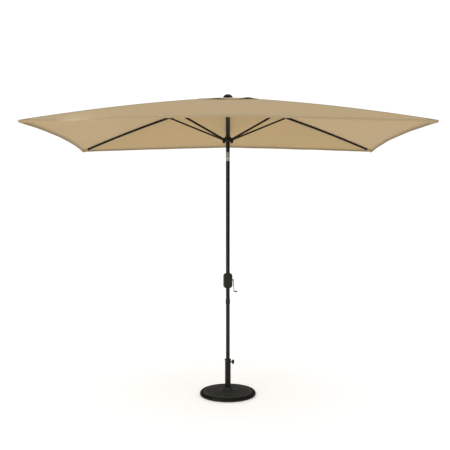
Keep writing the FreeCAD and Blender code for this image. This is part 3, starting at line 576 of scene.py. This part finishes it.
# Canopy ---------------------------------------------------------------------------------------
SLACK = 0.0008
HEM_WAVE = 0.0008
CLOTH_DROP = 0.0006
CANOPY_STEPS = 26
CANOPY_ROWS = 33
HEM_ROWS = [0.0262, 0.0245, 0.018, 0.011, 0.005, 0.0015, 0.0]
HEM_CLEAR = 0.032
HEM_DROP = 0.014
# The edge turns down over the hem: steps out and down from it
TURNED_EDGE = ((0.0014, 0.0008), (0.0022, 0.003), (0.002, 0.008), (0.0012, HEM_DROP))
CORNER_SHARPNESS = 14


def ripple(gore, across, share):
    """Slack between two ribs: low waves that run out from the crown and die at the seams."""
    hold = (4 * across * (1 - across)) ** 0.6
    waves = math.sin(across * 21 + gore * 1.7) + 0.6 * math.sin(across * 34 + gore * 0.9 + share)
    return SLACK * hold * share ** 1.6 * waves


def out_of_hem(first, second, across, end):
    """The level direction that the hem faces, which swings to the diagonal at a corner."""
    away_x = math.copysign(1, end.x)
    away_y = math.copysign(1, end.y)
    if is_short(first, second):
        out = Vector((away_x, 0, 0))
        corner = abs(2 * across - 1)
    else:
        out = Vector((0, away_y, 0))
        corner = across if second.kind == "corner" else 1 - across
    swing = corner ** CORNER_SHARPNESS
    diagonal = Vector((away_x, away_y, 0)).normalized()
    return (out * (1 - swing) + diagonal * swing).normalized()


def canopy_column(gore, first, second, across):
    inset = SHORT_INSET if is_short(first, second) else LONG_INSET
    limit = hem_share(canopy_line, first, second, across, inset)

    def point(share):
        place = between(canopy_line, first, second, across, share)
        place.z += ripple(gore, across, share) - CLOTH_DROP
        return place

    length = (point(limit) - point(VENT_SHARE)).length
    distances = [length * (1 - k / CANOPY_STEPS) for k in range(CANOPY_STEPS)]
    distances = [d for d in distances if d > HEM_CLEAR] + HEM_ROWS
    fill_rows(distances, CANOPY_ROWS)
    column = [(point(VENT_SHARE + (limit - VENT_SHARE) * (1 - d / length)), d) for d in distances]
    end = column[-1][0]
    out = out_of_hem(first, second, across, end)
    wave = HEM_WAVE * math.sin(end.x * 11) * math.sin(end.y * 13)
    for step, down in TURNED_EDGE:
        low = Vector((0, 0, down + wave * down / HEM_DROP))
        column.append((end + out * step - low, -down))
    return column


def make_canopy(materials):
    for index, rib in enumerate(RIBS):
        columns = []
        runs = []
        for gore, first, second, across in sector_stations(canopy_line, index):
            column = canopy_column(gore, first, second, across)
            columns.append(column)
            hem = column[-1 - len(TURNED_EDGE)][0]
            runs.append(hem.y if is_short(first, second) else hem.x)
        obj = cloth_sheet(f"canopy_cloth_{rib.number}", columns, runs)
        obj.data.materials.append(materials["canopy_fabric"])
        fold_with(obj, rib)
        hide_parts(f"canopy_{rib.number}")


# Vent cap -------------------------------------------------------------------------------------
# Where the cap's edge stands up: gore, place across, half width, height
CAP_WAVES = [
    (0, 0.55, 0.22, 0.008), (1, 0.4, 0.25, 0.009), (2, 0.5, 0.22, 0.009),
    (3, 0.66, 0.2, 0.009), (4, 0.68, 0.2, 0.0145), (5, 0.5, 0.25, 0.008),
]
CAP_INNER = 0.047
CAP_STEPS = 12
CAP_TOTAL_ROWS = 16
CAP_HEM_ROWS = [0.0095, 0.0085, 0.004, 0.0]
CAP_HEM_CLEAR = 0.012


def cap_column(gore, first, second, across):
    inset = CAP_INSET if is_short(first, second) else 0
    limit = hem_share(cap_line, first, second, across, inset)
    _, middle, width, height = CAP_WAVES[gore]
    edge = math.exp(-((across - middle) / width) ** 2) * (4 * across * (1 - across)) ** 0.5

    def point(share):
        place = between(cap_line, first, second, across, share)
        place.z += height * edge * (share / limit) ** 2.5
        return place

    reach = point(limit).to_2d().length
    inner = CAP_INNER / reach * limit
    length = reach - CAP_INNER
    distances = [length * (1 - k / CAP_STEPS) for k in range(CAP_STEPS)]
    distances = [d for d in distances if d > CAP_HEM_CLEAR] + CAP_HEM_ROWS
    fill_rows(distances, CAP_TOTAL_ROWS)
    return [(point(inner + (limit - inner) * (1 - d / length)), d) for d in distances]


def make_cap(materials):
    for index, rib in enumerate(RIBS):
        columns = [cap_column(*station) for station in sector_stations(cap_line, index)]
        runs = [column[-1][0].x + column[-1][0].y for column in columns]
        obj = cloth_sheet(f"vent_cap_{rib.number}", columns, runs)
        obj.data.materials.append(materials["canopy_fabric"])
        fold_with(obj, rib)
        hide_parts("vent_cap")


# Round pieces ---------------------------------------------------------------------------------
TURNED_CREASE = 40
TUBE_CREASE = 60


def turned_mesh(name, outline, around, shape):
    """A closed round piece from an outline of (radius, height), raised by a shape."""
    mesh = bmesh.new()
    rings = []
    for k in range(around):
        angle = 2 * math.pi * k / around
        ring = []
        for radius, height in outline:
            rise = shape(radius, height, angle)
            place = (radius * math.cos(angle), radius * math.sin(angle), height + rise)
            ring.append(mesh.verts.new(place))
        rings.append(ring)
    for k in range(around):
        here, there = rings[k], rings[(k + 1) % around]
        for j in range(len(outline)):
            nxt = (j + 1) % len(outline)
            mesh.faces.new((here[j], there[j], there[nxt], here[nxt]))
    return mesh_object(name, mesh, TURNED_CREASE)


def tube_mesh(name, rings):
    """A closed piece through rings of points, flat at both ends."""
    mesh = bmesh.new()
    loops = [[mesh.verts.new(point) for point in ring] for ring in rings]
    around = len(loops[0])
    for here, there in zip(loops, loops[1:]):
        for j in range(around):
            mesh.faces.new((here[j], here[(j + 1) % around], there[(j + 1) % around], there[j]))
    mesh.faces.new(loops[0])
    mesh.faces.new(loops[-1])
    return mesh_object(name, mesh, TUBE_CREASE)


# Crown patch, seam tapes and pockets ----------------------------------------------------------
PATCH_RADIUS = 0.062
PATCH_HOLE = 0.006
PATCH_CLOTH = 0.0009
TAPE_CLOTH = 0.0009
TAPE_END = 0.998
TAPE_STEPS = 48
POCKET_START = 0.078
POCKET_LENGTH = 0.062
POCKET_CLOTH = 0.0012
POCKET_STEPS = 8
# Half of each cross-section, from the middle outwards: sideways, up from the cloth's line
TAPE_HALF = [(0, 0.0009), (0.006, 0.0007), (0.0075, 0.0001)]
POCKET_HALF = [(0, -0.0244), (0.006, -0.0238), (0.0088, -0.021), (0.0092, -0.009),
               (0.012, -0.0042), (0.021, -0.0028)]


def cap_height(radius, angle):
    """Height of the vent cap's cloth at a place seen from above."""
    way = Vector((math.cos(angle), math.sin(angle), 0))
    for index, first in enumerate(RIBS):
        second = RIBS[(index + 1) % 6]
        one = on_rib(cap_line, first, 1)
        two = on_rib(cap_line, second, 1)
        before = one.x * way.y - one.y * way.x
        after = two.x * way.y - two.y * way.x
        if before >= -1e-9 and after <= 0 and (one + two).dot(way) > 0:
            across = before / (before - after)
            share = radius / (one * (1 - across) + two * across).to_2d().length
            return CAP_TOP + share * ((one.z - CAP_TOP) * (1 - across)
                                      + (two.z - CAP_TOP) * across)
    return CAP_TOP


def make_crown_patch(materials):
    """A round reinforcing patch sewn over the cap's middle, under the finial."""
    width = PATCH_RADIUS - PATCH_HOLE
    outline = [(PATCH_HOLE + width * k / 8, 0.0016 - 0.0008 * (k / 8) ** 4) for k in range(9)]
    under = [(radius, height - PATCH_CLOTH) for radius, height in reversed(outline)]
    obj = turned_mesh("crown_patch", outline + under, 96,
                      lambda radius, height, angle: cap_height(radius, angle))
    obj.data.materials.append(materials["canopy_fabric"])
    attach(obj, "upper")


def mirrored(half):
    return [(-across, up) for across, up in reversed(half[1:])] + half


def cloth_along(name, rib, shares, profile, thickness):
    """A closed strip of cloth along a rib, with one cross-section all the way."""
    side = Vector(tangent_of(rib))
    mesh = bmesh.new()
    levels = []
    for lift in (0.0, -thickness):
        levels.append([[mesh.verts.new(on_rib(canopy_line, rib, share) + side * across
                                       + Vector((0, 0, up + lift)))
                        for across, up in profile] for share in shares])
    lay_grid(mesh, *levels)
    return mesh_object(name, mesh, CLOTH_CREASE)


def make_trims(materials):
    """Seam tapes over the ribs and the pockets that hold their ends."""
    for rib in RIBS:
        reach = CANOPY[rib.kind][0]
        shares = [VENT_SHARE + (TAPE_END - VENT_SHARE) * k / TAPE_STEPS
                  for k in range(TAPE_STEPS + 1)]
        tape = cloth_along(f"seam_tape_{rib.number}", rib, shares, mirrored(TAPE_HALF), TAPE_CLOTH)
        ends = [1 - (POCKET_START - POCKET_LENGTH * k / POCKET_STEPS) / reach
                for k in range(POCKET_STEPS + 1)]
        pocket = cloth_along(f"pocket_{rib.number}", rib, ends, mirrored(POCKET_HALF), POCKET_CLOTH)
        for obj in (tape, pocket):
            obj.data.materials.append(materials["trim"])
            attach(obj, f"rib_{rib.number}")


# Base -----------------------------------------------------------------------------------------
WEAVE_IN = 0.088
WEAVE_OUT = 0.187
WEAVE_FLOOR = 0.0328
WEAVE_RELIEF = 0.0017
WEAVE_FADE = 0.006
WEAVE_ROW = 0.0095
WEAVE_SPOKES = 48
RING_OUT = 0.2115
DISH_TOP = (0.0564, 0.0442)
DISH_EDGE = (0.205, 0.033)
DISH_STEPS = 64
# The cover's outline before and after the dish: radius, height
COVER_COLLAR = [
    (0.0256, 0.068), (0.031, 0.068), (0.0345, 0.0673), (0.0374, 0.0645), (0.0397, 0.058),
    (0.0424, 0.0512), (0.047, 0.047),
]
COVER_RIM = [
    (0.2085, 0.0308), (0.211, 0.03), (0.2155, 0.0301), (0.2185, 0.0317), (0.2225, 0.0334),
    (0.2285, 0.0338), (0.2345, 0.0313), (0.24, 0.0262), (0.2432, 0.0195), (0.244, 0.014),
    (0.2434, 0.008), (0.2415, 0.004), (0.236, 0.004), (0.2395, 0.014), (0.233, 0.0265),
    (0.223, 0.0292), (0.216, 0.026), (0.21, 0.026), (0.205, 0.029), (0.076, 0.038),
    (0.076, 0.019), (0.0256, 0.019),
]


def basket(radius, height, angle):
    """Low woven relief on the dish between its two plain borders."""
    if height < WEAVE_FLOOR or not WEAVE_IN < radius < WEAVE_OUT:
        return 0.0
    fade = min(1.0, (radius - WEAVE_IN) / WEAVE_FADE, (WEAVE_OUT - radius) / WEAVE_FADE)
    spoke = angle / (2 * math.pi) * WEAVE_SPOKES
    row = (radius - WEAVE_IN) / WEAVE_ROW
    over = (math.floor(spoke) + math.floor(row)) % 2
    u = math.sin(math.pi * (spoke % 1)) ** 0.7
    v = math.sin(math.pi * (row % 1)) ** 0.7
    return fade * WEAVE_RELIEF * (u if over else v) * (0.55 + 0.45 * (v if over else u))


def painted_light_at(place):
    """How much painted light a place of the base gets, from 0 in painted shade to 1 in painted
    highlight; on the weave it follows how far the place stands out.
    """
    radius = place.to_2d().length
    if WEAVE_IN < radius < WEAVE_OUT and place.z > WEAVE_FLOOR:
        angle = math.atan2(place.y, place.x)
        return 0.1 + 0.8 * basket(radius, place.z, angle) / WEAVE_RELIEF
    # Painted highlight on the plain ring, a middle tone on the collar and inner dish, painted shade
    # on the rolled rim and its wall
    if radius < RING_OUT:
        return 0.9 if radius > WEAVE_OUT else 0.45
    return 0.05


def make_base(materials):
    """The stand's cover: collar, woven dish, plain ring and rolled rim."""
    dish = [(DISH_TOP[0] + (DISH_EDGE[0] - DISH_TOP[0]) * k / DISH_STEPS,
             DISH_TOP[1] + (DISH_EDGE[1] - DISH_TOP[1]) * k / DISH_STEPS)
            for k in range(DISH_STEPS + 1)]
    obj = turned_mesh("base_cover", COVER_COLLAR + dish + COVER_RIM, 480, basket)
    # Painted light, kept on each vertex for the base's material
    layer = obj.data.attributes.new("relief_light", "FLOAT", "POINT")
    for vert, value in zip(obj.data.vertices, layer.data):
        value.value = painted_light_at(vert.co)
    obj.data.materials.append(materials["base_painted_light"])
    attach(obj, "base")
    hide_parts("base_shell")


# Lift cord and button spring ------------------------------------------------------------------
CORD_OUT = 0.0192
CORD_TOP = 2.5
CORD_FOOT = 2.2592
CORD_RADIUS = 0.001
CORD_STEPS = 60
CORD_AROUND = 12
SPRING_NEAR = -0.0107
SPRING_FAR = -0.0055
SPRING_HEIGHT = 2.053
SPRING_RADIUS = 0.003
SPRING_WIRE = 0.0004
SPRING_TURNS = 4
SPRING_STEPS = 28
SPRING_AROUND = 10


def make_cord_drop(materials):
    """The lift cord outside the pole: a round braid from the pulley down to the runner."""
    rings = []
    for k in range(CORD_STEPS + 1):
        height = CORD_TOP + (CORD_FOOT - CORD_TOP) * k / CORD_STEPS
        ring = []
        for j in range(CORD_AROUND):
            angle = 2 * math.pi * j / CORD_AROUND
            radius = CORD_RADIUS * (1 + 0.08 * math.cos(3 * angle + k * 0.7))
            ring.append((CORD_OUT + radius * math.cos(angle), radius * math.sin(angle), height))
        rings.append(ring)
    obj = tube_mesh("lift_cord_run", rings)
    obj.data.materials.append(materials["lift_cord"])
    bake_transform(obj)
    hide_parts("lift_cord_drop")


def make_button_spring(materials):
    """The tilt button's spring, which shortens as the button goes in."""
    length = SPRING_FAR - SPRING_WIRE - SPRING_NEAR
    steps = SPRING_TURNS * SPRING_STEPS
    rings = []
    for k in range(steps + 1):
        turn = 2 * math.pi * k / SPRING_STEPS
        out = Vector((math.cos(turn), 0, math.sin(turn)))
        middle = out * SPRING_RADIUS + Vector((0, SPRING_NEAR + length * k / steps, SPRING_HEIGHT))
        ring = []
        for j in range(SPRING_AROUND):
            angle = 2 * math.pi * j / SPRING_AROUND
            way = out * math.cos(angle) + Vector((0, math.sin(angle), 0))
            ring.append(middle + way * SPRING_WIRE)
        rings.append(ring)
    obj = tube_mesh("button_spring_coil", rings)
    obj.data.materials.append(materials["zinc_steel"])
    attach(obj, "mast")
    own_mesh(obj)
    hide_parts("button_spring")


# Everything together --------------------------------------------------------------------------
scene.view_settings.view_transform = "Standard"
make_camera()
make_world()
make_round_lamp("key", (-3.2, -4.6, 2.6), (0, 0, 1.4), size=2.4, power=66)
make_round_lamp("fill", (4.4, -3.6, 3.8), (0.6, 0, 2.2), size=3.0, power=42)
make_round_lamp("top", (0.5, 1.0, 6.5), (0, 0, 2.4), size=4.0, power=15)
make_round_lamp("under", (0, 2.2, 0.5), (0, 0.6, 2.3), size=2.0, power=3)
make_strip_lamp("strip", (-1.15, -1.1, 1.2), (0, 0, 1.2), width=0.1, tall=2.6, power=24)
make_floor()
palette = make_materials()
dress_frame(palette)
make_canopy(palette)
make_cap(palette)
make_crown_patch(palette)
make_trims(palette)
make_base(palette)
make_cord_drop(palette)
make_button_spring(palette)
